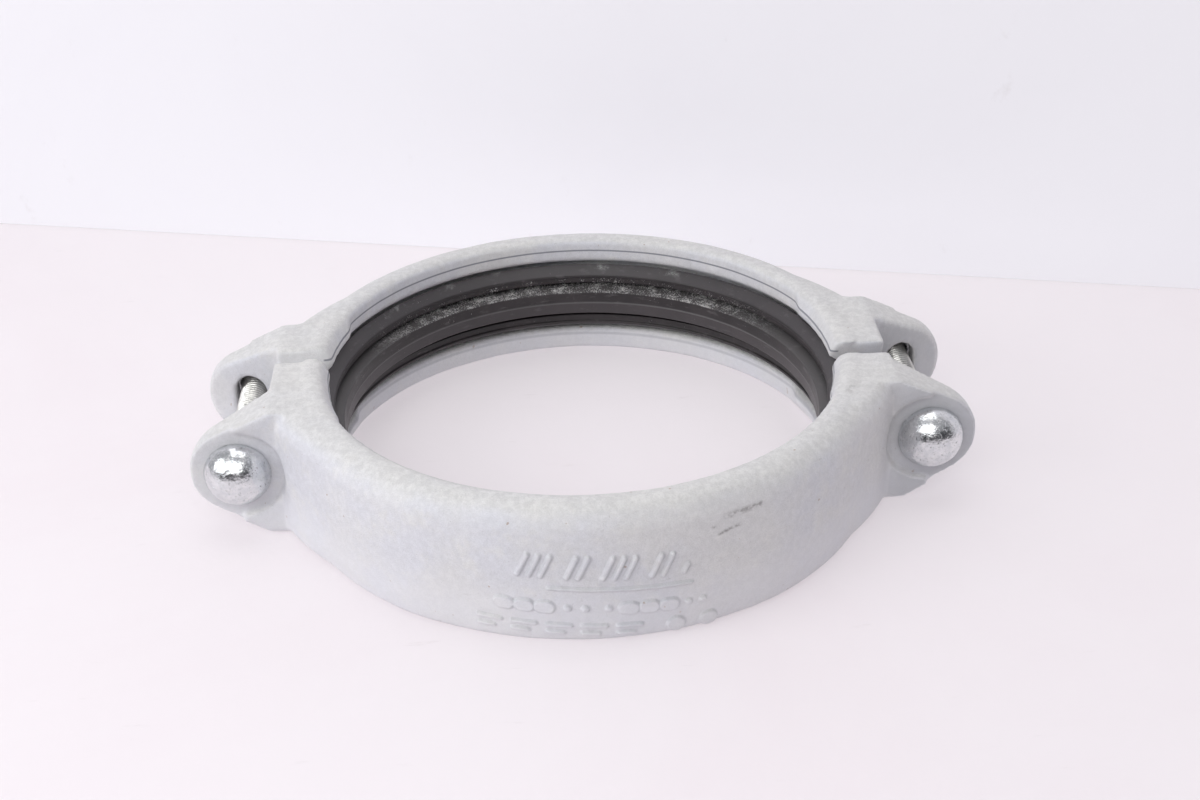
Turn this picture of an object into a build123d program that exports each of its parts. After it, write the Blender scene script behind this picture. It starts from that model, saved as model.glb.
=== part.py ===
from build123d import *
from math import asin, cos, pi, radians, sin
import os

# Two-bolt grooved pipe coupling for 219.1 mm pipe, in its half-open state as delivered.
# The pipe runs along Z. The bolts run along Y, one on each side, on the X axis.
# The origin is the centre of the bore. The front half carries the domed bolt heads. The
# rear half slides along the bolts towards the front half as the nuts are turned.

# ---- driving dimensions, in millimetres ---------------------------------------------
pipe_r = 219.1 / 2  # outside radius of the pipe that the coupling joins
coupling_h = 61.4  # overall size along the pipe
open_gap = 9.0  # gap between the bolt pads of the two halves as delivered

# housing ring: each half is an arc struck about its own centre
arc_shift = 1.7  # from the origin to the centre of each half's arc
crown_r = 131.5  # outside radius at mid-height
barrel_r = 130.6  # outside radius at six tenths of the half-height
edge_r = 129.0  # outside radius at the flanks, before the edges are rounded
upper_edge_round = 11.5  # rounding from the outside face to the upper flank
lower_edge_round = 3.6  # rounding from the outside face to the lower flank
rim_r = 113.4  # where the flank meets the bevel of the bore
flat_r = 116.5  # inner edge of the flat part of the flank
rim_drop = 1.5  # how far the flank falls to the rim
key_r = 110.5  # nose of the keys, which drop into the pipe's grooves
key_top_z = 24.4  # edge of the nose next to the bevel
key_foot_z = 21.6  # edge of the nose next to the gasket
pocket_mouth_r = 116.0  # end of the sloping inner side of the key
pocket_half_h = 17.7  # half-height of the gasket pocket
pocket_r = 122.0  # floor of the gasket pocket

# bolt lugs
bolt_x = 149.5  # bolt axes, either side of the bore
seat_y = 38.0  # outer faces of the lugs, where heads and nuts bear
lug_r = 20.5  # rounded end of a lug about the bolt axis
lug_root_half_h = 30.0  # half-height of a lug where it leaves the ring
lug_upper_root_x = 133.5  # where the lug's outline starts to close towards its end
lug_lower_root_x = 138.5
lug_inner_x = 104.0  # how far the lug's stock reaches into the ring
pad_end_x = 135.0  # outboard end of a bolt pad
pad_tilt = 18.0  # degrees; the pads lean opposite ways on the two sides
lug_back_root_y = 19.0  # inner face of the lug next to the pad
lug_back_tip_y = 31.0  # inner face of the lug at its rounded end
fairing_y = 41.0  # the ring's outside fairs into the lug just beyond the seat
fairing_end_x = 131.0
fairing_start_x = 108.0  # where the fairing leaves the outside of the ring
fairing_start_y = 72.5
fairing_mid_x = 123.8
fairing_mid_y = 53.5
fairing_upper_round = 9.0
fairing_lower_round = 4.0
seat_r = 20.5  # round seat for the head or the nut

# bolt slots, long side along the pipe
slot_w = 14.3
slot_l = 19.0
slot_mouth_l = 26.0  # the slot flares to this length at the lug's inner face

# gasket: one moulded ring, a C in section, with two lips and a centre leg
gasket_r = 118.9
gasket_half_h = 17.3
gasket_shoulder_r = 116.0
gasket_corner = 2.4
lip_r = pipe_r + 0.85  # the lips as they sit before the pipe is in
lip_tip_z = 13.4  # outer edge of the lip's sealing face
lip_step_z = 12.0  # inner edge of the lip's sealing face
lip_back_r = 111.2  # the lip's inner end, just behind the sealing face
lip_back_z = 8.9
lip_root_r = 115.6
lip_root_z = 8.7
cavity_r = 116.4  # bottom of the C
cavity_z = 8.0
leg_r = 106.8  # the centre leg, which stands between the two pipe ends
leg_tip_half_h = 5.8
leg_root_half_h = 6.9
leg_root_r = 113.6

# 1/2 inch track bolts and heavy hex nuts
shank_r = 6.2
bolt_length = 88.9  # under the head
head_r = 14.3
head_h = 13.0
head_rim_h = 2.0  # short straight edge under the dome
neck_w = 13.4
neck_l = 17.6
neck_depth = 8.0
end_chamfer = 1.2
nut_across_flats = 22.2
nut_h = 12.2
nut_bore_r = shank_r + 0.05
nut_gap = 0.05
nut_chamfer = 1.2

# ---- worked out ---------------------------------------------------------------------
half_h = coupling_h / 2
dome_rise = head_h - head_rim_h
dome_r = (head_r**2 + dome_rise**2) / (2 * dome_rise)
dome_angle = asin(head_r / dome_r)
nut_corner_r = nut_across_flats / 2 / cos(pi / 6)
arc_centre = Plane(origin=(0, arc_shift, 0), x_dir=(1, 0, 0), z_dir=(0, -1, 0))
arc_axis = Axis((0, arc_shift, 0), (0, 0, 1))
bolt_axis = Axis((bolt_x, 0, 0), (0, 1, 0))
head_seat = Plane(origin=(bolt_x, -seat_y, 0), x_dir=(1, 0, 0), z_dir=(0, 1, 0))
rear_seat = Plane(origin=(bolt_x, seat_y, 0), x_dir=(1, 0, 0), z_dir=(0, 1, 0))
nut_seat = rear_seat.offset(nut_gap)

os.makedirs("parts", exist_ok=True)

# ---- rear housing -------------------------------------------------------------------
# the stock of both lugs: their outline along the bolts, kept inside their plan
with BuildPart() as lug_stock:
    with BuildSketch(Plane.XZ):
        with Locations((bolt_x, 0)):
            Circle(lug_r)
        with BuildLine():
            Polyline(
                (lug_inner_x, -lug_root_half_h),
                (lug_lower_root_x, -lug_root_half_h),
                (lug_upper_root_x, lug_root_half_h),
                (lug_inner_x, lug_root_half_h),
                close=True,
            )
        make_face()
        make_hull()
    extrude(amount=fairing_start_y, both=True)
    with BuildSketch():
        with BuildLine():
            Polyline(
                (lug_inner_x, -lug_root_half_h),
                (pad_end_x, -lug_root_half_h),
                (pad_end_x, lug_back_root_y),
                (bolt_x + lug_r, lug_back_tip_y),
                (bolt_x + lug_r, seat_y),
                (bolt_x, seat_y),
                (bolt_x, fairing_y),
                (fairing_end_x, fairing_y),
            )
            ThreePointArc(
                (fairing_end_x, fairing_y),
                (fairing_mid_x, fairing_mid_y),
                (fairing_start_x, fairing_start_y),
            )
            Polyline(
                (fairing_start_x, fairing_start_y),
                (lug_inner_x, fairing_start_y),
                (lug_inner_x, -lug_root_half_h),
            )
        make_face()
    extrude(amount=half_h, both=True, mode=Mode.INTERSECT)
    fairing_edges = lug_stock.edges().filter_by(GeomType.CIRCLE).filter_by(Plane.XY)
    fillet(fairing_edges.sort_by(Axis.Z)[-1], fairing_upper_round)
    fairing_edges = lug_stock.edges().filter_by(GeomType.CIRCLE).filter_by(Plane.XY)
    fillet(fairing_edges.sort_by(Axis.Z)[0], fairing_lower_round)
    mirror(about=Plane.YZ)

with BuildPart() as rear_housing:
    # the ring, before it is cut to a half
    with BuildSketch(arc_centre):
        with BuildLine():
            crown = ThreePointArc(
                (crown_r, 0),
                (barrel_r, half_h * 0.6),
                (edge_r, half_h),
            )
            Polyline(crown @ 1, (flat_r, half_h), (rim_r, half_h - rim_drop), (rim_r, 0))
            Line((rim_r, 0), crown @ 0)
        make_face()
        mirror(about=Plane.XZ)
    revolve(axis=arc_axis)
    round_edges = rear_housing.edges().filter_by(GeomType.CIRCLE)
    outer_edges = round_edges.filter_by(lambda e: abs(e.radius - edge_r) < 0.1)
    fillet(outer_edges.sort_by(Axis.Z)[-1], upper_edge_round)
    round_edges = rear_housing.edges().filter_by(GeomType.CIRCLE)
    outer_edges = round_edges.filter_by(lambda e: abs(e.radius - edge_r) < 0.1)
    fillet(outer_edges.sort_by(Axis.Z)[0], lower_edge_round)
    add(lug_stock.part)
    # the gasket pocket, the keys and the bevelled bore run on through the lugs
    with BuildSketch(arc_centre):
        with BuildLine():
            Polyline(
                (0, 0),
                (pocket_r, 0),
                (pocket_r, pocket_half_h),
                (pocket_mouth_r, pocket_half_h),
                (key_r, key_foot_z),
                (key_r, key_top_z),
                (rim_r, half_h - rim_drop),
                (rim_r, half_h),
                (0, half_h),
                close=True,
            )
        make_face()
        mirror(about=Plane.XZ)
    revolve(axis=arc_axis, mode=Mode.SUBTRACT)
    # each pad is cut along its own leaning plane
    for side in (1, -1):
        pad_normal = (0, -cos(radians(pad_tilt)), -side * sin(radians(pad_tilt)))
        pad = Plane(origin=(side * crown_r, open_gap / 2, 0), x_dir=(1, 0, 0), z_dir=pad_normal)
        with BuildSketch(pad):
            Rectangle(2 * crown_r, 3 * coupling_h)
        extrude(amount=2 * crown_r, mode=Mode.SUBTRACT)
    # round seats, and slots that flare inwards
    for side in (1, -1):
        seat = Plane(origin=(side * bolt_x, seat_y, 0), x_dir=(1, 0, 0), z_dir=(0, 1, 0))
        with BuildSketch(seat):
            Circle(seat_r)
        extrude(amount=seat_r, mode=Mode.SUBTRACT)
        with BuildSketch(seat):
            SlotOverall(slot_l, slot_w, rotation=90)
        with BuildSketch(seat.offset(lug_back_root_y - seat_y)):
            SlotOverall(slot_mouth_l, slot_w, rotation=90)
        loft(mode=Mode.SUBTRACT)
rear_housing.part.label = "rear_housing"
export_step(rear_housing.part, "parts/rear_housing.step")

# ---- front housing: the same casting, turned round ----------------------------------
with BuildPart() as front_housing:
    add(rear_housing.part, rotation=(0, 0, 180))
front_housing.part.label = "front_housing"
export_step(front_housing.part, "parts/front_housing.step")

# ---- gasket -------------------------------------------------------------------------
with BuildPart() as gasket:
    with BuildSketch(Plane.XZ):
        with BuildLine():
            Polyline(
                (gasket_r, 0),
                (gasket_r, gasket_half_h - gasket_corner),
                (gasket_r - gasket_corner, gasket_half_h),
                (gasket_shoulder_r, gasket_half_h),
                (lip_r, lip_tip_z),
                (lip_r, lip_step_z),
                (lip_back_r, lip_step_z),
                (lip_back_r, lip_back_z),
                (lip_root_r, lip_root_z),
                (cavity_r, cavity_z),
                (leg_root_r, leg_root_half_h),
                (leg_r, leg_tip_half_h),
                (leg_r, 0),
                close=True,
            )
        make_face()
        mirror(about=Plane.XZ)
    revolve(axis=Axis.Z)
gasket.part.label = "gasket"
export_step(gasket.part, "parts/gasket.step")

# ---- track bolts: domed head, oval neck and round shank -----------------------------
with BuildPart() as right_bolt:
    with BuildSketch(Plane(origin=(bolt_x, -seat_y, 0), x_dir=(1, 0, 0), z_dir=(0, 0, 1))):
        with BuildLine():
            Polyline((0, -head_h), (0, 0), (head_r, 0), (head_r, -head_rim_h))
            ThreePointArc(
                (head_r, -head_rim_h),
                (dome_r * sin(dome_angle / 2), dome_r * (1 - cos(dome_angle / 2)) - head_h),
                (0, -head_h),
            )
        make_face()
    revolve(axis=bolt_axis)
    with BuildSketch(head_seat):
        SlotOverall(neck_l, neck_w, rotation=90)
    extrude(amount=neck_depth)
    with BuildSketch(head_seat):
        Circle(shank_r)
    extrude(amount=bolt_length)
    chamfer(right_bolt.faces().sort_by(Axis.Y)[-1].edges(), length=end_chamfer)
right_bolt.part.label = "right_bolt"
export_step(right_bolt.part, "parts/right_bolt.step")

with BuildPart() as left_bolt:
    mirror(right_bolt.part, about=Plane.YZ)
left_bolt.part.label = "left_bolt"
export_step(left_bolt.part, "parts/left_bolt.step")

# ---- heavy hex nuts, chamfered on both faces ----------------------------------------
with BuildPart() as right_nut:
    with BuildSketch(nut_seat):
        RegularPolygon(nut_corner_r, 6)
        Circle(nut_bore_r, mode=Mode.SUBTRACT)
    extrude(amount=nut_h)
    with BuildSketch(Plane(origin=nut_seat.origin, x_dir=(1, 0, 0), z_dir=(0, 0, 1))):
        with BuildLine():
            Polyline(
                (0, 0),
                (nut_corner_r - 2 * nut_chamfer, 0),
                (nut_corner_r, nut_chamfer),
                (nut_corner_r, nut_h - nut_chamfer),
                (nut_corner_r - 2 * nut_chamfer, nut_h),
                (0, nut_h),
                close=True,
            )
        make_face()
    revolve(axis=bolt_axis, mode=Mode.INTERSECT)
right_nut.part.label = "right_nut"
export_step(right_nut.part, "parts/right_nut.step")

with BuildPart() as left_nut:
    mirror(right_nut.part, about=Plane.YZ)
left_nut.part.label = "left_nut"
export_step(left_nut.part, "parts/left_nut.step")
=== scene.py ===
"""Looks of the two-bolt grooved pipe coupling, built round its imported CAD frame. Metres."""

import math

import bmesh
import bpy
import numpy as np
from mathutils import Matrix, Vector, noise


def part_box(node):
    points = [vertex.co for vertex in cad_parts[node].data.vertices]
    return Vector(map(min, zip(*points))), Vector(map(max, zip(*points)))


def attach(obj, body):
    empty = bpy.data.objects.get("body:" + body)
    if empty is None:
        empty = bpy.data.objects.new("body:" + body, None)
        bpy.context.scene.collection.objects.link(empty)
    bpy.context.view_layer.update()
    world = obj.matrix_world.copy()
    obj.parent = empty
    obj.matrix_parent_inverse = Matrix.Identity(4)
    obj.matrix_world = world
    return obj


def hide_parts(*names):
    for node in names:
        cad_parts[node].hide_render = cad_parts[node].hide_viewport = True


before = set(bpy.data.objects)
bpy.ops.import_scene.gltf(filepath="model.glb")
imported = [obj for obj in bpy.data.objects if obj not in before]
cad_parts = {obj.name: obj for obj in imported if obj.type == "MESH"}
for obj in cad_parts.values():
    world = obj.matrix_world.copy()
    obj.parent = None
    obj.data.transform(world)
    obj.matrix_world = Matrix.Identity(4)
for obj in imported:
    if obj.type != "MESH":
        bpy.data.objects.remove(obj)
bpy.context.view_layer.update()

MM = 0.001
FLOOR_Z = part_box("front_housing")[0].z
SEAT_Y = 38.0 * MM  # heads and nuts bear on the lugs at this distance from the pipe's axis
ARC_SHIFT = 1.7 * MM  # the arc of each half is struck this far from the origin
CROWN_R = 131.5 * MM  # outside radius of each half at mid-height
KEY_EDGE_Z = 24.9 * MM  # where the upper key's slope meets its nose
KEY_FOOT_Z = 21.6 * MM  # edge of each nose next to the gasket
GASKET_SAG = 0.012  # part of the radius
MARK_HEIGHT = 1.0 * MM  # how far the cast marks stand out
MARK_REACH = 56.0 * MM  # the marks lie within this distance from the crown, along the outside
MARK_TOP = 16.0 * MM  # and below this height
OUTER_R = 124.5 * MM  # the outer skin of a casting lies beyond this radius
POCKET_HALF_H = 20.0 * MM  # the gasket's pocket and its mouth lie within this height
PITCH = 25.4 / 13 * MM  # 1/2 inch, 13 threads per inch
SHANK_R = 6.2 * MM
THREAD_ROOT_R = 5.22 * MM
THREAD_DEPTH = 0.98 * MM


# ---- mesh helpers -------------------------------------------------------------------
def new_piece(name, verts, faces):
    mesh = bpy.data.meshes.new(name)
    mesh.from_pydata([tuple(v) for v in verts], [], faces)
    mesh.update()
    piece = bpy.data.objects.new(name, mesh)
    bpy.context.scene.collection.objects.link(piece)
    smooth_shade(piece)
    return piece


def smooth_shade(piece):
    mesh = piece.data
    mesh.polygons.foreach_set("use_smooth", [True] * len(mesh.polygons))
    mesh.update()


def apply_modifiers(piece):
    graph = bpy.context.evaluated_depsgraph_get()
    baked = bpy.data.meshes.new_from_object(piece.evaluated_get(graph))
    piece.modifiers.clear()
    old = piece.data
    piece.data = baked
    bpy.data.meshes.remove(old)
    baked.name = piece.name


def face_outward(piece):
    bm = bmesh.new()
    bm.from_mesh(piece.data)
    bmesh.ops.recalc_face_normals(bm, faces=bm.faces)
    bm.to_mesh(piece.data)
    bm.free()


def vertex_array(mesh):
    co = np.empty(len(mesh.vertices) * 3, np.float32)
    mesh.vertices.foreach_get("co", co)
    return co.reshape(-1, 3).astype(float)


def normal_array(mesh):
    no = np.empty(len(mesh.vertices) * 3, np.float32)
    mesh.vertices.foreach_get("normal", no)
    return no.reshape(-1, 3).astype(float)


def set_vertices(mesh, co):
    mesh.vertices.foreach_set("co", co.astype(np.float32).ravel())
    mesh.update()


def lumps(co, size, seed):
    """Smooth noise from -1 to 1 at each point, with features about size across."""
    shift = Vector((seed * 7.31, seed * 3.17, seed * 5.77))
    return np.array([noise.noise(Vector(p) / size + shift) for p in co])


# ---- material helpers ---------------------------------------------------------------
class Nodes:
    """A material's node tree, with short calls for the nodes used here."""

    def __init__(self, name):
        self.mat = bpy.data.materials.new(name)
        self.mat.use_nodes = True
        self.tree = self.mat.node_tree
        self.tree.nodes.clear()
        self.coords = self.tree.nodes.new("ShaderNodeTexCoord").outputs["Object"]

    def add(self, kind, **settings):
        node = self.tree.nodes.new(kind)
        for key, value in settings.items():
            setattr(node, key, value)
        return node

    def put(self, value, socket):
        if isinstance(value, bpy.types.NodeSocket):
            self.tree.links.new(value, socket)
        elif isinstance(value, tuple) and len(value) == 3 and socket.type == "RGBA":
            socket.default_value = (*value, 1.0)
        else:
            socket.default_value = value

    def stretched(self, scale, turn=(0.0, 0.0, 0.0)):
        node = self.add("ShaderNodeMapping")
        self.put(self.coords, node.inputs["Vector"])
        node.inputs["Rotation"].default_value = turn
        node.inputs["Scale"].default_value = scale
        return node.outputs["Vector"]

    def noise(self, scale, detail=3.0, roughness=0.55, vector=None, distortion=0.0):
        node = self.add("ShaderNodeTexNoise")
        self.put(vector or self.coords, node.inputs["Vector"])
        node.inputs["Scale"].default_value = scale
        node.inputs["Detail"].default_value = detail
        node.inputs["Roughness"].default_value = roughness
        node.inputs["Distortion"].default_value = distortion
        return node.outputs["Fac"]

    def ramp(self, value, low, high, to_low=0.0, to_high=1.0, smooth=True):
        node = self.add("ShaderNodeMapRange")
        node.interpolation_type = "SMOOTHSTEP" if smooth else "LINEAR"
        self.put(value, node.inputs["Value"])
        node.inputs["From Min"].default_value = low
        node.inputs["From Max"].default_value = high
        node.inputs["To Min"].default_value = to_low
        node.inputs["To Max"].default_value = to_high
        return node.outputs["Result"]

    def math(self, operation, a, b=0.0):
        node = self.add("ShaderNodeMath", operation=operation)
        self.put(a, node.inputs[0])
        self.put(b, node.inputs[1])
        return node.outputs[0]

    def mix(self, factor, a, b, blend="MIX"):
        node = self.add("ShaderNodeMix", data_type="RGBA", blend_type=blend)
        self.put(factor, node.inputs[0])
        self.put(a, node.inputs[6])
        self.put(b, node.inputs[7])
        return node.outputs[2]

    def grey(self, value):
        node = self.add("ShaderNodeCombineColor")
        for socket in node.inputs[:3]:
            self.put(value, socket)
        return node.outputs[0]

    def axes(self, vector=None):
        node = self.add("ShaderNodeSeparateXYZ")
        self.put(vector or self.coords, node.inputs[0])
        return node.outputs

    def geometry(self, output):
        return self.add("ShaderNodeNewGeometry").outputs[output]

    def attribute(self, name):
        return self.add("ShaderNodeAttribute", attribute_name=name).outputs["Fac"]

    def bump(self, height, distance):
        node = self.add("ShaderNodeBump")
        self.put(height, node.inputs["Height"])
        node.inputs["Distance"].default_value = distance
        node.inputs["Strength"].default_value = 1.0
        return node.outputs["Normal"]

    def finish(self, colour, roughness, normal, metallic=0.0, specular=0.5, glow=0.0):
        shader = self.add("ShaderNodeBsdfPrincipled")
        if glow > 0:
            self.put(colour, shader.inputs["Emission Color"])
            self.put(glow, shader.inputs["Emission Strength"])
        self.put(colour, shader.inputs["Base Color"])
        self.put(roughness, shader.inputs["Roughness"])
        self.put(metallic, shader.inputs["Metallic"])
        self.put(specular, shader.inputs["Specular IOR Level"])
        self.put(normal, shader.inputs["Normal"])
        out = self.add("ShaderNodeOutputMaterial")
        self.put(shader.outputs[0], out.inputs["Surface"])
        return self.mat


# ---- materials ----------------------------------------------------------------------
def galvanised():
    """Hot-dip zinc on an iron casting: even light grey, grainy, with painted shade on top, painted
    shade and dirt in creases, and painted light low down.
    """
    n = Nodes("galvanised_casting")
    clouds = n.noise(21.0, 4.0, 0.55)
    patches = n.noise(70.0, 5.0, 0.7)
    mottle = n.noise(380.0, 4.0, 0.65)
    grain = n.noise(2100.0, 3.0, 0.65)
    facing = n.axes(n.geometry("Normal"))[2]
    upward = n.ramp(facing, 0.45, 0.95)
    cool = n.mix(n.ramp(clouds, 0.38, 0.62), (0.665, 0.672, 0.712), (0.690, 0.688, 0.694))
    warm = n.mix(n.ramp(patches, 0.48, 0.70, 0.0, 0.6), cool, (0.725, 0.720, 0.708))
    dull = n.mix(n.ramp(patches, 0.40, 0.26, 0.0, 0.5), warm, (0.575, 0.580, 0.598))
    # painted shade: faces that turn upwards are toned a warmer, darker grey
    top_shaded = n.mix(n.math("MULTIPLY", upward, 0.7), dull, (0.660, 0.655, 0.635))
    speck = n.ramp(mottle, 0.40, 0.66, -0.5, 0.5, smooth=False)
    amount = n.math("MULTIPLY", speck, n.ramp(upward, 0.0, 1.0, 0.09, 0.16))
    tone = n.math("ADD", n.ramp(grain, 0.3, 0.7, 0.93, 1.07, smooth=False), amount)
    grained = n.mix(1.0, top_shaded, n.grey(tone), "MULTIPLY")
    flecks = n.ramp(n.noise(900.0, 2.0, 0.5), 0.71, 0.80, 0.0, 0.45)
    flecked = n.mix(flecks, grained, (0.30, 0.29, 0.28))
    rust = n.ramp(n.noise(270.0, 2.0, 0.4), 0.755, 0.775, 0.0, 0.6)
    rusted = n.mix(rust, flecked, (0.34, 0.22, 0.15))
    strokes = n.noise(75.0, 5.0, 0.75, n.stretched((1.0, 1.0, 4.0), (0.5, 0.3, 0.0)))
    stroked = n.mix(n.ramp(strokes, 0.655, 0.72, 0.0, 0.38), rusted, (0.36, 0.35, 0.345))
    # painted shade and dirt in the creases, and painted shade along the sharp convex edges
    crease_shade = n.ramp(n.geometry("Pointiness"), 0.492, 0.44, 0.0, 0.5)
    ridge = n.ramp(n.geometry("Pointiness"), 0.56, 0.64, 0.0, 0.35)
    crease_shaded = n.mix(crease_shade, stroked, (0.36, 0.365, 0.38))
    ridge_shade = n.math("MULTIPLY", ridge, n.ramp(patches, 0.35, 0.6))
    ridge_shaded = n.mix(ridge_shade, crease_shaded, (0.40, 0.40, 0.41))
    # painted shade on the slopes of the raised marks
    marks_shaded = n.mix(n.math("MULTIPLY", n.attribute("mark_edge_shade"), 0.28), ridge_shaded, (0.40, 0.41, 0.44))
    scuff = n.math("MULTIPLY", n.attribute("scuff"), n.ramp(mottle, 0.36, 0.58))
    # the flat faces of the lugs are a duller zinc with painted shade, more so on the right, where
    # the crown shades them
    x, y, z = n.axes()
    square = n.ramp(n.math("ABSOLUTE", n.axes(n.geometry("Normal"))[1]), 0.84, 0.98)
    right, left = n.ramp(x, 0.118, 0.142, 0.0, 0.62), n.ramp(x, -0.118, -0.142, 0.0, 0.2)
    outboard = n.math("MAXIMUM", right, left)
    # painted light from the table's bounce: lighter zinc low down on the outside
    low = n.math("MULTIPLY", n.ramp(z, 0.004, -0.020, 0.0, 0.5), n.ramp(facing, 0.5, 0.1))
    bounce_lit = n.mix(low, marks_shaded, (0.79, 0.795, 0.83))
    lug_face_shaded = n.mix(n.math("MULTIPLY", square, outboard), bounce_lit, (0.45, 0.46, 0.49))
    # painted shade: a fine dark line along the upper key's edge, and a soft one at each key's foot
    beside = n.math("SUBTRACT", n.math("ABSOLUTE", y), ARC_SHIFT)
    squares = n.math("ADD", n.math("MULTIPLY", x, x), n.math("MULTIPLY", beside, beside))
    radius = n.math("SQRT", squares)
    within = n.ramp(radius, 0.1150, 0.1140)
    off_edge = n.math("ABSOLUTE", n.math("SUBTRACT", z, KEY_EDGE_Z))
    line = n.math("MULTIPLY", n.ramp(off_edge, 0.00055, 0.00025, 0.0, 0.85), within)
    off_foot = n.math("ABSOLUTE", n.math("ADD", z, KEY_FOOT_Z))
    soft_line = n.math("MULTIPLY", n.ramp(off_foot, 0.0012, 0.0002, 0.0, 0.30), within)
    key_line_shaded = n.mix(n.math("MAXIMUM", line, soft_line), lug_face_shaded, (0.20, 0.21, 0.24))
    colour = n.mix(n.math("MULTIPLY", scuff, 0.75), key_line_shaded, (0.17, 0.16, 0.16))
    gloss = n.ramp(mottle, 0.3, 0.7, 0.50, 0.68, smooth=False)
    height = n.math("MULTIPLY", patches, 0.30)
    height = n.math("ADD", height, n.math("MULTIPLY", mottle, 0.30))
    height = n.math("ADD", height, n.math("MULTIPLY", grain, 0.20))
    height = n.math("SUBTRACT", height, n.math("MULTIPLY", flecks, 0.12))
    return n.finish(colour, gloss, n.bump(height, 0.0010), metallic=0.08, specular=0.45)


def rubber():
    """Moulded rubber, dark brown-black, with dried lubricant flecks and white dust."""
    n = Nodes("gasket_rubber")
    x, y, z = n.axes()
    high = n.math("ABSOLUTE", z)
    soft = n.noise(60.0, 4.0, 0.6)
    grain = n.noise(1500.0, 3.0, 0.6)
    base = n.mix(n.ramp(soft, 0.35, 0.7), (0.021, 0.018, 0.019), (0.037, 0.031, 0.033))
    smear = n.noise(120.0, 4.0, 0.6, n.stretched((1.0, 1.0, 3.5)))
    dusty = n.mix(n.ramp(smear, 0.56, 0.72, 0.0, 0.20), base, (0.24, 0.23, 0.23))
    # the upper lip's slanted face is painted lighter: dust, and a painted sheen from the light in
    # front
    upper_lip = n.ramp(z, 0.0128, 0.0140, 0.0, 0.42)
    lip_dust_and_sheen = n.mix(upper_lip, dusty, (0.085, 0.078, 0.083))
    # flecks lie thick on the leg's upper flank at the back, and thin elsewhere
    back = n.ramp(y, 0.045, 0.095)
    flank = n.math("MULTIPLY", n.ramp(z, 0.0052, 0.0058), n.ramp(z, 0.0082, 0.0070))
    dust = n.noise(1500.0, 3.0, 0.7)
    clumps = n.noise(160.0, 3.0, 0.6)
    amount = n.math("ADD", dust, n.math("MULTIPLY", clumps, 0.5))
    thick = n.math("MULTIPLY", n.ramp(amount, 0.76, 0.84), n.math("MULTIPLY", flank, back))
    ledge = n.math("MULTIPLY", n.ramp(z, 0.0082, 0.0090), n.ramp(z, 0.0122, 0.0112))
    sparse = n.math("MULTIPLY", n.ramp(amount, 0.86, 0.93), n.math("MULTIPLY", ledge, back))
    thin = n.ramp(amount, 0.99, 1.04, 0.0, 0.8)
    # the leg's upper flank is painted a lighter grey: dust, and painted light on this upward face
    flank_dust_and_light = n.mix(n.math("MULTIPLY", flank, 0.38), lip_dust_and_sheen, (0.17, 0.165, 0.165))
    white = n.math("MAXIMUM", n.math("MAXIMUM", thick, sparse), thin)
    # the lower half of the leg is paler, below a fine pale parting line
    lower_leg = n.math("MULTIPLY", n.ramp(z, 0.0002, -0.0006), n.ramp(z, -0.0064, -0.0056))
    pale = n.mix(n.math("MULTIPLY", lower_leg, 0.40), flank_dust_and_light, (0.090, 0.080, 0.085))
    parting = n.ramp(n.math("ABSOLUTE", z), 0.0007, 0.0002, 0.0, 0.45)
    split = n.mix(parting, pale, (0.17, 0.165, 0.165))
    flecked = n.mix(white, split, (0.60, 0.59, 0.58))
    # white dust rubbed on to the outer edge of the upper lip
    rub = n.ramp(n.noise(48.0, 4.0, 0.7), 0.56, 0.68)
    edge = n.math("MULTIPLY", n.ramp(high, 0.0146, 0.0160), n.ramp(dust, 0.36, 0.60))
    rubbed = n.math("MULTIPLY", n.math("MULTIPLY", rub, edge), 0.7)
    colour = n.mix(rubbed, flecked, (0.36, 0.37, 0.36))
    gloss = n.ramp(soft, 0.3, 0.7, 0.34, 0.50, smooth=False)
    height = n.math("ADD", n.math("MULTIPLY", grain, 0.3), white)
    return n.finish(colour, gloss, n.bump(height, 0.0002), specular=0.45)


def zinc(name, gloss_low, gloss_high, tint):
    """Bright zinc-plated steel with fine scratches, small pits and painted shade in the thread
    roots.
    """
    n = Nodes(name)
    cloud = n.noise(260.0, 4.0, 0.6)
    pits = n.ramp(n.noise(1000.0, 3.0, 0.6), 0.62, 0.72)
    long_a = n.noise(260.0, 3.0, 0.7, n.stretched((1.0, 1.0, 14.0), (0.0, 0.7, 0.2)))
    long_b = n.noise(240.0, 3.0, 0.7, n.stretched((14.0, 1.0, 1.0), (0.3, -0.5, 0.0)))
    scratch = n.math("MAXIMUM", n.ramp(long_a, 0.63, 0.68), n.ramp(long_b, 0.64, 0.69))
    clean = n.mix(n.ramp(cloud, 0.3, 0.7), tint, (0.80, 0.81, 0.82))
    dirty = n.mix(n.math("MULTIPLY", pits, 0.6), clean, (0.16, 0.15, 0.14))
    threaded = n.mix(n.math("MULTIPLY", n.attribute("thread"), 0.6), dirty, (0.78, 0.76, 0.70))
    # painted shade in the thread roots
    root_shaded = n.mix(n.math("MULTIPLY", n.attribute("root"), 0.85), threaded, (0.14, 0.14, 0.13))
    gloss = n.ramp(cloud, 0.3, 0.7, gloss_low, gloss_high, smooth=False)
    gloss = n.math("ADD", gloss, n.math("MULTIPLY", scratch, 0.18))
    gloss = n.math("ADD", gloss, n.math("MULTIPLY", n.attribute("thread"), 0.18))
    height = n.math("SUBTRACT", n.math("MULTIPLY", cloud, 0.8), n.math("MULTIPLY", pits, 0.5))
    height = n.math("SUBTRACT", height, n.math("MULTIPLY", scratch, 0.12))
    return n.finish(root_shaded, gloss, n.bump(height, 0.00045), metallic=1.0)


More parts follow.
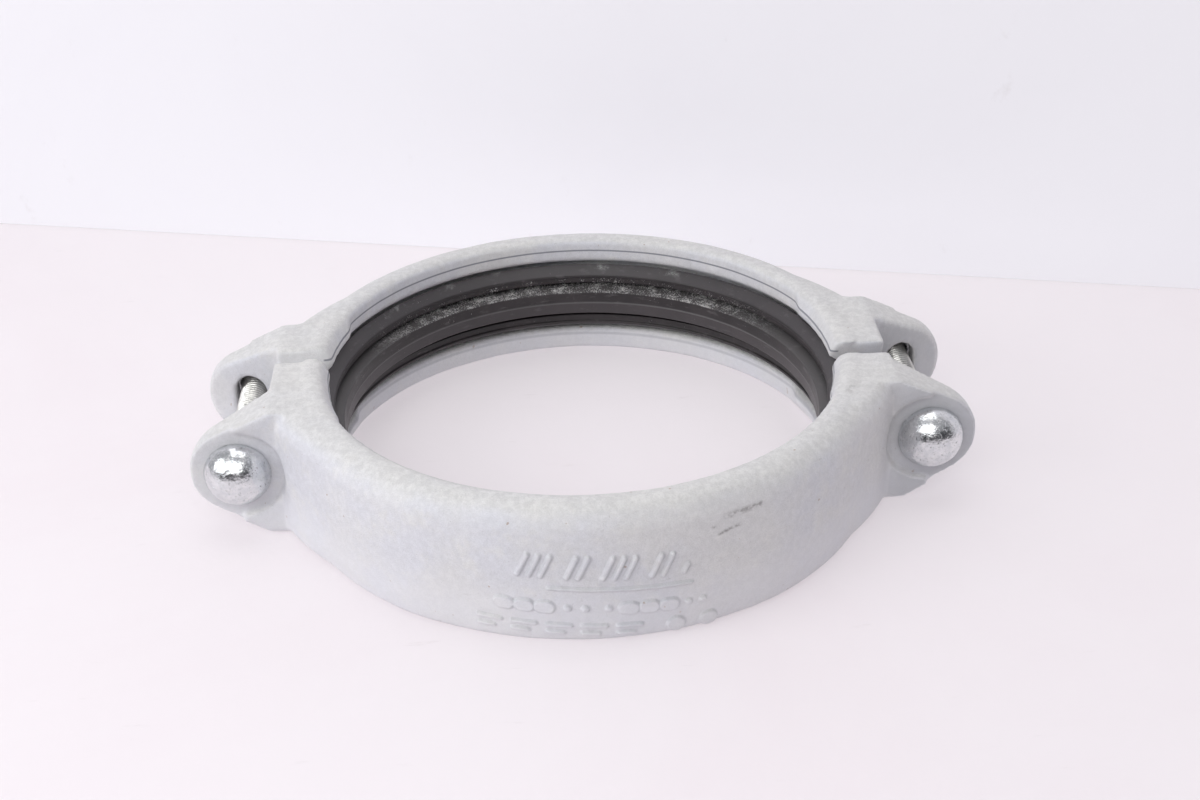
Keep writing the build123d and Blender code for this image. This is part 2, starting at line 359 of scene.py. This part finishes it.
def white_board(name, colour, stain, glow):
    """Matt white board, lit partly from behind as in a light tent."""
    n = Nodes(name)
    tone = n.ramp(n.noise(3.2, 5.0, 0.6, distortion=0.8), 0.42, 0.75)
    marks = n.noise(30.0, 5.0, 0.7, n.stretched((1.0, 5.0, 1.0), (0.0, 0.0, 0.6)))
    base = n.mix(tone, colour, stain)
    marked = n.mix(n.ramp(marks, 0.64, 0.78, 0.0, 0.16), base, (0.28, 0.25, 0.25))
    rough = n.ramp(n.noise(12.0, 4.0), 0.3, 0.7, 0.55, 0.70, smooth=False)
    relief = n.bump(n.noise(45.0, 4.0), 0.0004)
    return n.finish(marked, rough, relief, specular=0.25, glow=glow)


def see_through_behind(material):
    """The same material, but clear on the faces' back, so the sheet hides nothing from behind."""
    tree = material.node_tree
    out = next(node for node in tree.nodes if node.type == "OUTPUT_MATERIAL")
    front = out.inputs["Surface"].links[0].from_socket
    clear = tree.nodes.new("ShaderNodeBsdfTransparent")
    blend = tree.nodes.new("ShaderNodeMixShader")
    side = tree.nodes.new("ShaderNodeNewGeometry").outputs["Backfacing"]
    tree.links.new(side, blend.inputs[0])
    tree.links.new(front, blend.inputs[1])
    tree.links.new(clear.outputs[0], blend.inputs[2])
    tree.links.new(blend.outputs[0], out.inputs["Surface"])
    return material


GALVANISED = galvanised()
RUBBER = rubber()
ZINC_HEAD = zinc("zinc_plated_bolt", 0.11, 0.26, (0.66, 0.68, 0.70))
ZINC_NUT = zinc("zinc_plated_nut", 0.20, 0.36, (0.64, 0.65, 0.66))


# ---- housings: castings with soft edges and raised marks ----------------------------
def stroke_distance(along, up, start, end):
    """Distance of each point from the stroke between two points, given in millimetres."""
    a, b = np.array(start) * MM, np.array(end) * MM
    p = np.stack([along, up], axis=1) - a
    t = np.clip(p @ (b - a) / np.dot(b - a, b - a), 0, 1)
    return np.linalg.norm(p - t[:, None] * (b - a), axis=1)


def raised_marks(along, up):
    """Height, 0 to 1, of a plain cast pattern: slanted strokes, a rule, pads and dashes."""
    height = np.zeros(len(along))
    level = up + 0.055 * along  # the rows run slightly downhill

    def stroke(start, end, width):
        distance = stroke_distance(along, level, start, end) - width / 2 * MM
        np.maximum(height, np.clip(0.5 - distance / (0.9 * MM), 0, 1), out=height)

    # top row: slanted strokes in groups, over a long rule
    for s in (-33, -28.5, -24, -14, -9.5, 0, 4.5, 9, 19, 23.5):
        stroke((s, 1.5), (s + 4, 10.5), 1.9)
    stroke((32, 1.8), (33.5, 5), 1.9)
    stroke((-21, -3.9), (35, -3.9), 1.4)
    # middle row: square pads and dots
    for s in (-39, -31, -23, 10, 18, 26):
        stroke((s - 1.2, -13.2), (s + 1.2, -13.2), 6.0)
    for s in (-14, -7, 2, 34, 40):
        stroke((s, -13.2), (s + 0.3, -13.2), 2.6)
    # bottom row: dashes, and two discs at the end
    for s in (-50, -36, -22, -8, 6):
        stroke((s, -22.0), (s + 9, -22.0), 1.8)
        stroke((s, -25.8), (s + 6, -25.8), 1.8)
    for s in (29, 43):
        stroke((s, -23.8), (s + 0.3, -23.8), 7.4)
    return height


def scuff_strokes(along, up):
    """Strength, 0 to 1, of the dark rubbed strokes beside the marks."""
    strength = np.zeros(len(along))
    for start, end, width in (
        ((50.0, 19.8), (66.0, 20.6), 1.2),
        ((47.0, 13.2), (56.0, 14.8), 0.9),
        ((44.0, 16.5), (46.0, 16.5), 0.7),
    ):
        away = stroke_distance(along, up, start, end)
        fade = np.clip(1.2 - away / (width * MM), 0, 1)
        np.maximum(strength, fade, out=strength)
    return strength


def write_attribute(mesh, name, values):
    layer = mesh.attributes.new(name, "FLOAT", "POINT")
    layer.data.foreach_set("value", values.astype(np.float32))


def casting(name, node, facing):
    """The CAD casting with its edges softened, its skin unevened and its marks raised."""
    piece = new_piece(name, [], [])
    bm = bmesh.new()
    bm.from_mesh(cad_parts[node].data)
    bmesh.ops.remove_doubles(bm, verts=bm.verts, dist=1e-6)
    bm.to_mesh(piece.data)
    bm.free()
    remesh = piece.modifiers.new("even", "REMESH")
    remesh.mode = "VOXEL"
    remesh.voxel_size = 1.26 * MM
    soften = piece.modifiers.new("soften", "SMOOTH")
    soften.factor = 0.5
    soften.iterations = 7
    apply_modifiers(piece)
    mesh = piece.data

    def around(co):
        """Radius about the arc's own centre, and distance round the outside from the crown."""
        radius = np.hypot(co[:, 0], co[:, 1] - facing * ARC_SHIFT)
        reach = np.arctan2(co[:, 0] * -facing, co[:, 1] * facing) * CROWN_R
        return radius, reach

    if facing < 0:
        co = vertex_array(mesh)
        radius, reach = around(co)
        wanted = (radius > OUTER_R) & (np.abs(reach) < MARK_REACH) & (co[:, 2] < MARK_TOP)
        bm = bmesh.new()
        bm.from_mesh(mesh)
        bm.verts.ensure_lookup_table()
        edges = [e for e in bm.edges if wanted[e.verts[0].index] and wanted[e.verts[1].index]]
        bmesh.ops.subdivide_edges(bm, edges=edges, cuts=2, use_grid_fill=True)
        bm.to_mesh(mesh)
        bm.free()
    co = vertex_array(mesh)
    no = normal_array(mesh)
    push = 0.16 * MM * lumps(co, 19 * MM, facing + 2) + 0.08 * MM * lumps(co, 6 * MM, facing + 5)
    radius, reach = around(co)
    # the pads and the gasket's pocket stay true, so that the closed halves clear each other
    free = np.clip((np.abs(co[:, 1]) - 5 * MM) / (6 * MM), 0, 1)
    free[(radius < OUTER_R) & (np.abs(co[:, 2]) < POCKET_HALF_H)] = 0
    push = free * push - (1 - free) * 0.14 * MM
    if facing < 0:
        marks = raised_marks(reach, co[:, 2])
        marks[radius < OUTER_R] = 0
        scuffs = scuff_strokes(reach, co[:, 2])
        scuffs[radius < OUTER_R] = 0
        push = push + MARK_HEIGHT * marks
        # where the painted shade on the marks' slopes goes
        write_attribute(mesh, "mark_edge_shade", 4 * marks * (1 - marks))
        write_attribute(mesh, "scuff", scuffs)
        # the skin lies lower round the marks, so that their tops stay inside the crown's radius
        beyond = np.abs(reach) - MARK_REACH
        depth = MARK_HEIGHT * np.clip(1 - beyond / (22 * MM), 0, 1)
        depth = depth * np.clip((radius - OUTER_R) / (4 * MM), 0, 1)
        co[:, 0] *= 1 - depth / radius
        co[:, 1] -= (co[:, 1] - facing * ARC_SHIFT) * depth / radius
    low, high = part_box(node)
    set_vertices(mesh, np.clip(co + no * push[:, None], low, high))
    smooth_shade(piece)
    mesh.materials.append(GALVANISED)
    return piece


front_casting = casting("front_casting", "front_housing", -1)
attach(front_casting, "front")
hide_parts("front_housing")

rear_casting = casting("rear_casting", "rear_housing", 1)
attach(rear_casting, "rear")
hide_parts("rear_housing")


# ---- gasket -------------------------------------------------------------------------
def rounded(points, cut):
    """A closed outline with each corner cut back and curved."""
    out = []
    for i, corner in enumerate(points):
        corner = np.array(corner, float)
        before = np.array(points[i - 1], float) - corner
        after = np.array(points[(i + 1) % len(points)], float) - corner
        a = corner + before * min(0.45, cut / np.linalg.norm(before))
        b = corner + after * min(0.45, cut / np.linalg.norm(after))
        for t in (0.0, 0.25, 0.5, 0.75, 1.0):
            out.append((1 - t) ** 2 * a + 2 * t * (1 - t) * corner + t**2 * b)
    return np.array(out)


def gasket_ring():
    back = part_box("gasket")[1].x / MM - 0.35  # clear of the pocket's cast skin
    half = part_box("gasket")[1].z / MM - 0.15
    upper = [
        (106.8, 0.35),
        (106.8, 5.8),
        (113.6, 6.9),
        (116.3, 8.0),
        (115.6, 8.7),
        (111.2, 8.9),
        (111.2, 11.9),
        (110.4, 12.1),
        (110.4, 13.4),
        (116.0, half),
        (back - 2.4, half),
        (back, half - 2.4),
    ]
    lower = [(r, -z) for r, z in reversed(upper)]
    line = [(106.6, 0.0)]  # fine parting line round the leg
    outline = rounded(line + upper + lower, 0.5)
    count = 360
    turn = np.arange(count) * 2 * math.pi / count
    radial = outline[:, 0][None, :] * MM
    verts = np.stack(
        [
            radial * np.cos(turn)[:, None],
            radial * np.sin(turn)[:, None],
            np.broadcast_to(outline[:, 1][None, :] * MM, (count, len(outline))),
        ],
        axis=-1,
    ).reshape(-1, 3)
    m = len(outline)
    faces = []
    for i in range(count):
        for j in range(m):
            k = (j + 1) % m
            i2 = (i + 1) % count
            faces.append((i * m + j, i2 * m + j, i2 * m + k, i * m + k))
    piece = new_piece("gasket_ring", verts, faces)
    face_outward(piece)
    co = vertex_array(piece.data)
    push = 0.07 * MM * lumps(co, 14 * MM, 9)
    co = co + normal_array(piece.data) * push[:, None]
    # the ring sags inwards a little at the two sides, where the gaps leave it free
    sideways = np.abs(co[:, 0]) / np.hypot(co[:, 0], co[:, 1])
    co[:, 0] *= 1 - GASKET_SAG * sideways**4
    set_vertices(piece.data, co)
    piece.data.materials.append(RUBBER)
    return piece


gasket = gasket_ring()
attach(gasket, "seal")
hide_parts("gasket")


# ---- bolts and nuts -----------------------------------------------------------------
SEGMENTS = 72
TURN = np.arange(SEGMENTS) * 2 * math.pi / SEGMENTS


def thread_radius(y):
    """Radius of the right-hand thread round the bolt's axis at this y, for every TURN."""
    phase = (y / PITCH + TURN / (2 * math.pi)) % 1.0
    crest = np.abs(phase - 0.5) * 2
    return THREAD_ROOT_R + THREAD_DEPTH * np.clip((crest - 0.16) / 0.68, 0, 1)


def stadium_radius(half_w, half_l):
    """Radius of the oval neck, long side along Z, for every TURN."""
    flat = half_l - half_w
    c, s = np.abs(np.cos(TURN)), np.abs(np.sin(TURN))
    side = half_w / np.maximum(c, 1e-6)
    end = flat * s + np.sqrt(np.maximum(half_w**2 - (flat * c) ** 2, 0))
    return np.where(side * s <= flat, side, end)


def loft(name, centre_x, rings, closed):
    """Rings of (y, radii) about a bolt axis; closed joins the last ring to the first."""
    verts = []
    for y, radii in rings:
        for r, t in zip(np.broadcast_to(radii, SEGMENTS), TURN):
            verts.append((centre_x + r * math.cos(t), y, r * math.sin(t)))
    faces = []
    total = len(rings)
    for i in range(total if closed else total - 1):
        a = i * SEGMENTS
        b = ((i + 1) % total) * SEGMENTS
        for j in range(SEGMENTS):
            k = (j + 1) % SEGMENTS
            faces.append((a + j, b + j, b + k, a + k))
    if not closed:
        faces.append(tuple(range(SEGMENTS)))
        faces.append(tuple((total - 1) * SEGMENTS + j for j in reversed(range(SEGMENTS))))
    piece = new_piece(name, verts, faces)
    face_outward(piece)
    return piece


def mark_threads(piece, centre_x, start):
    """Say where the thread is, and how deep in it, for the painted shade in its roots."""
    co = vertex_array(piece.data)
    radius = np.hypot(co[:, 0] - centre_x, co[:, 2])
    threaded = (co[:, 1] > start).astype(float)
    write_attribute(piece.data, "thread", threaded)
    write_attribute(piece.data, "root", threaded * np.clip((6.0 * MM - radius) / (0.6 * MM), 0, 1))


def track_bolt(name, node):
    low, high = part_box(node)
    centre_x = (low.x + high.x) / 2
    head_r = (high.z - low.z) / 2
    rim_y = -SEAT_Y - 2.0 * MM
    rise = rim_y - low.y
    dome_r = (head_r**2 + rise**2) / (2 * rise)
    widest = math.asin(head_r / dome_r)
    rings = []
    for t in np.linspace(0.02, 0.97, 22):
        a = widest * t
        rings.append((low.y + dome_r * (1 - math.cos(a)), dome_r * math.sin(a)))
    rings.append((rim_y - 0.15 * MM, head_r - 0.12 * MM))
    rings.append((rim_y + 0.25 * MM, head_r))
    rings.append((-SEAT_Y - 0.5 * MM, head_r))
    rings.append((-SEAT_Y - 0.12 * MM, head_r - 0.15 * MM))
    rings.append((-SEAT_Y, head_r - 0.6 * MM))
    neck = stadium_radius(6.7 * MM, 8.8 * MM)
    neck_end = -SEAT_Y + 7.0 * MM
    rings.append((-SEAT_Y, neck))
    rings.append((neck_end, neck))
    rings.append((neck_end + 1.0 * MM, np.minimum(neck, 7.2 * MM)))
    rings.append((neck_end + 1.6 * MM, SHANK_R))
    thread_start = -5.0 * MM
    tip_r = 5.0 * MM
    rings.append((thread_start - 1.0 * MM, SHANK_R))
    steps = int((high.y - thread_start) / (PITCH / 10))
    for i in range(steps + 1):
        y = thread_start + i * PITCH / 10
        lead_in = SHANK_R - THREAD_DEPTH * min(1.0, i / 10)
        end_cone = tip_r + max(0.0, high.y - y)
        radii = np.maximum(thread_radius(y), lead_in)
        rings.append((y, np.minimum(radii, end_cone)))
    rings.append((high.y, tip_r))
    rings.append((high.y, 2.0 * MM))
    piece = loft(name, centre_x, rings, closed=False)
    mark_threads(piece, centre_x, thread_start)
    piece.data.materials.append(ZINC_HEAD)
    return piece


def hex_nut(name, node):
    low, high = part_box(node)
    centre_x = (low.x + high.x) / 2
    apothem = (high.z - low.z) / 2
    wrapped = (TURN % math.radians(60)) - math.radians(30)
    hexagon = apothem / np.cos(wrapped)
    length = high.y - low.y
    chamfer_r, mouth_r = apothem * 0.955, 7.1 * MM
    depths = (0.0, 0.12, 0.3, 0.5, 0.75, 1.0, 1.3, 1.7, 3.0)

    def body_radius(depth):
        """The hexagon, cut by a cone that starts at each end face."""
        return np.minimum(hexagon * 0.998, chamfer_r + depth * MM * math.sqrt(3))

    rings = []
    for depth in (*depths, length / MM / 2):
        rings.append((low.y + depth * MM, body_radius(depth)))
    for depth in reversed(depths):
        rings.append((high.y - depth * MM, body_radius(depth)))
    rings.append((high.y, apothem * 0.80))
    rings.append((high.y, mouth_r))
    steps = int((length - 1.4 * MM) / (PITCH / 8))
    for i in range(steps + 1):
        y = high.y - 0.7 * MM - i * PITCH / 8
        rings.append((y, thread_radius(y) + 0.07 * MM))
    rings.append((low.y, mouth_r))
    rings.append((low.y, apothem * 0.80))
    piece = loft(name, centre_x, rings, closed=True)
    piece.data.materials.append(ZINC_NUT)
    return piece


for side in ("left", "right"):
    bolt = track_bolt(f"{side}_track_bolt", f"{side}_bolt")
    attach(bolt, "front")
    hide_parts(f"{side}_bolt")
    nut = hex_nut(f"{side}_hex_nut", f"{side}_nut")
    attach(nut, f"{side}_nut_body")
    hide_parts(f"{side}_nut")


# ---- table and backdrop -------------------------------------------------------------
def stage():
    """A white table, and a white sheet standing behind it at an angle."""
    # two points of the line where the sheet meets the table
    left = Vector((-0.334, 0.312, FLOOR_Z))
    right = Vector((0.343, 0.146, FLOOR_Z))
    along = (right - left).normalized()
    near = Vector((along.y, -along.x, 0))
    start, end = left - along * 3.0, left + along * 4.0
    front, rear = near * 1.05, near * -1.6  # the table's edges, from that line
    table = new_piece(
        "table", [start + rear, end + rear, end + front, start + front], [(0, 3, 2, 1)]
    )
    table.data.materials.append(
        white_board("table_white", (0.50, 0.472, 0.490), (0.49, 0.455, 0.475), 0.76)
    )
    up = Vector((0, 0, 2.5))
    lift = Vector((0, 0, 0.0005))
    sheet = new_piece("backdrop", [start + lift, end + lift, end + up, start + up], [(0, 1, 2, 3)])
    sheet.data.materials.append(
        see_through_behind(
            white_board("backdrop_white", (0.50, 0.492, 0.518), (0.49, 0.480, 0.508), 0.82)
        )
    )


stage()


# ---- light --------------------------------------------------------------------------
def area_light(name, place, aim, width, height, power, colour):
    data = bpy.data.lights.new(name, "AREA")
    data.shape = "RECTANGLE"
    data.size = width
    data.size_y = height
    data.energy = power
    data.color = colour
    lamp = bpy.data.objects.new(name, data)
    bpy.context.scene.collection.objects.link(lamp)
    lamp.location = place
    lamp.rotation_euler = (Vector(aim) - Vector(place)).to_track_quat("-Z", "Y").to_euler()


area_light("front_box", (-0.30, -1.11, 1.04), (0, 0, 0), 1.3, 0.8, 8.2, (1.0, 0.995, 0.99))
area_light("left_box", (-0.95, -0.45, 0.48), (0, 0, 0), 0.7, 0.5, 4.7, (0.98, 0.985, 1.0))
area_light("overhead", (0.00, 0.10, 1.30), (0, 0, 0), 1.0, 0.8, 4.2, (1.0, 0.995, 0.99))


def light_tent():
    """Even white all round, with the darker room showing low down in front."""
    world = bpy.data.worlds.new("studio")
    bpy.context.scene.world = world
    world.use_nodes = True
    tree = world.node_tree
    backing = tree.nodes["Background"]

    def node(kind, **settings):
        made = tree.nodes.new(kind)
        for key, value in settings.items():
            setattr(made, key, value)
        return made

    def step(value, low, high, to_high):
        made = node("ShaderNodeMapRange", interpolation_type="SMOOTHSTEP")
        tree.links.new(value, made.inputs["Value"])
        made.inputs["From Min"].default_value = low
        made.inputs["From Max"].default_value = high
        made.inputs["To Max"].default_value = to_high
        return made.outputs["Result"]

    def times(a, b):
        made = node("ShaderNodeMath", operation="MULTIPLY")
        tree.links.new(a, made.inputs[0])
        tree.links.new(b, made.inputs[1])
        return made.outputs[0]

    direction = node("ShaderNodeTexCoord").outputs["Generated"]
    ragged = node("ShaderNodeTexNoise")
    tree.links.new(direction, ragged.inputs["Vector"])
    ragged.inputs["Scale"].default_value = 9.0
    shake = node("ShaderNodeVectorMath", operation="MULTIPLY_ADD")
    tree.links.new(ragged.outputs["Color"], shake.inputs[0])
    shake.inputs[1].default_value = (0.2, 0.2, 0.2)
    tree.links.new(direction, shake.inputs[2])
    split = node("ShaderNodeSeparateXYZ")
    tree.links.new(shake.outputs[0], split.inputs[0])
    below = step(split.outputs["Z"], 0.66, 0.54, 1.0)
    in_front = step(split.outputs["Y"], -0.10, -0.40, 0.92)
    room = times(below, in_front)
    blend = node("ShaderNodeMix", data_type="RGBA")
    tree.links.new(room, blend.inputs[0])
    across = step(split.outputs["X"], 1.1, -0.9, 1.0)
    tint = node("ShaderNodeMix", data_type="RGBA")
    tree.links.new(across, tint.inputs[0])
    tint.inputs[6].default_value = (0.84, 0.84, 0.88, 1.0)
    tint.inputs[7].default_value = (1.05, 1.05, 1.09, 1.0)
    tree.links.new(tint.outputs[2], blend.inputs[6])
    blend.inputs[7].default_value = (0.04, 0.04, 0.05, 1.0)
    tree.links.new(blend.outputs[2], backing.inputs["Color"])
    backing.inputs["Strength"].default_value = 0.44


light_tent()

scene = bpy.context.scene
scene.view_settings.view_transform = "Standard"
scene.view_settings.look = "None"


# ---- camera -------------------------------------------------------------------------
def camera():
    """Looks down at 30 degrees, a little from the left, with the horizon slightly tilted."""
    azimuth, down, roll = math.radians(3.3), math.radians(29.91), math.radians(-1.372)
    distance, aside, above = 0.7826, 0.00805, 0.00421
    forward = Vector(
        (math.sin(azimuth) * math.cos(down), math.cos(azimuth) * math.cos(down), -math.sin(down))
    )
    level = Vector((math.cos(azimuth), -math.sin(azimuth), 0))
    upright = level.cross(forward)
    right = math.cos(roll) * level + math.sin(roll) * upright
    up = -math.sin(roll) * level + math.cos(roll) * upright
    place = -forward * distance + right * aside + up * above
    data = bpy.data.cameras.new("camera")
    data.sensor_width = 36.0
    data.lens = 52.18
    lens = bpy.data.objects.new("camera", data)
    scene.collection.objects.link(lens)
    turn = Matrix((right, up, -forward)).transposed().to_4x4()
    lens.matrix_world = Matrix.Translation(place) @ turn
    scene.camera = lens


camera()
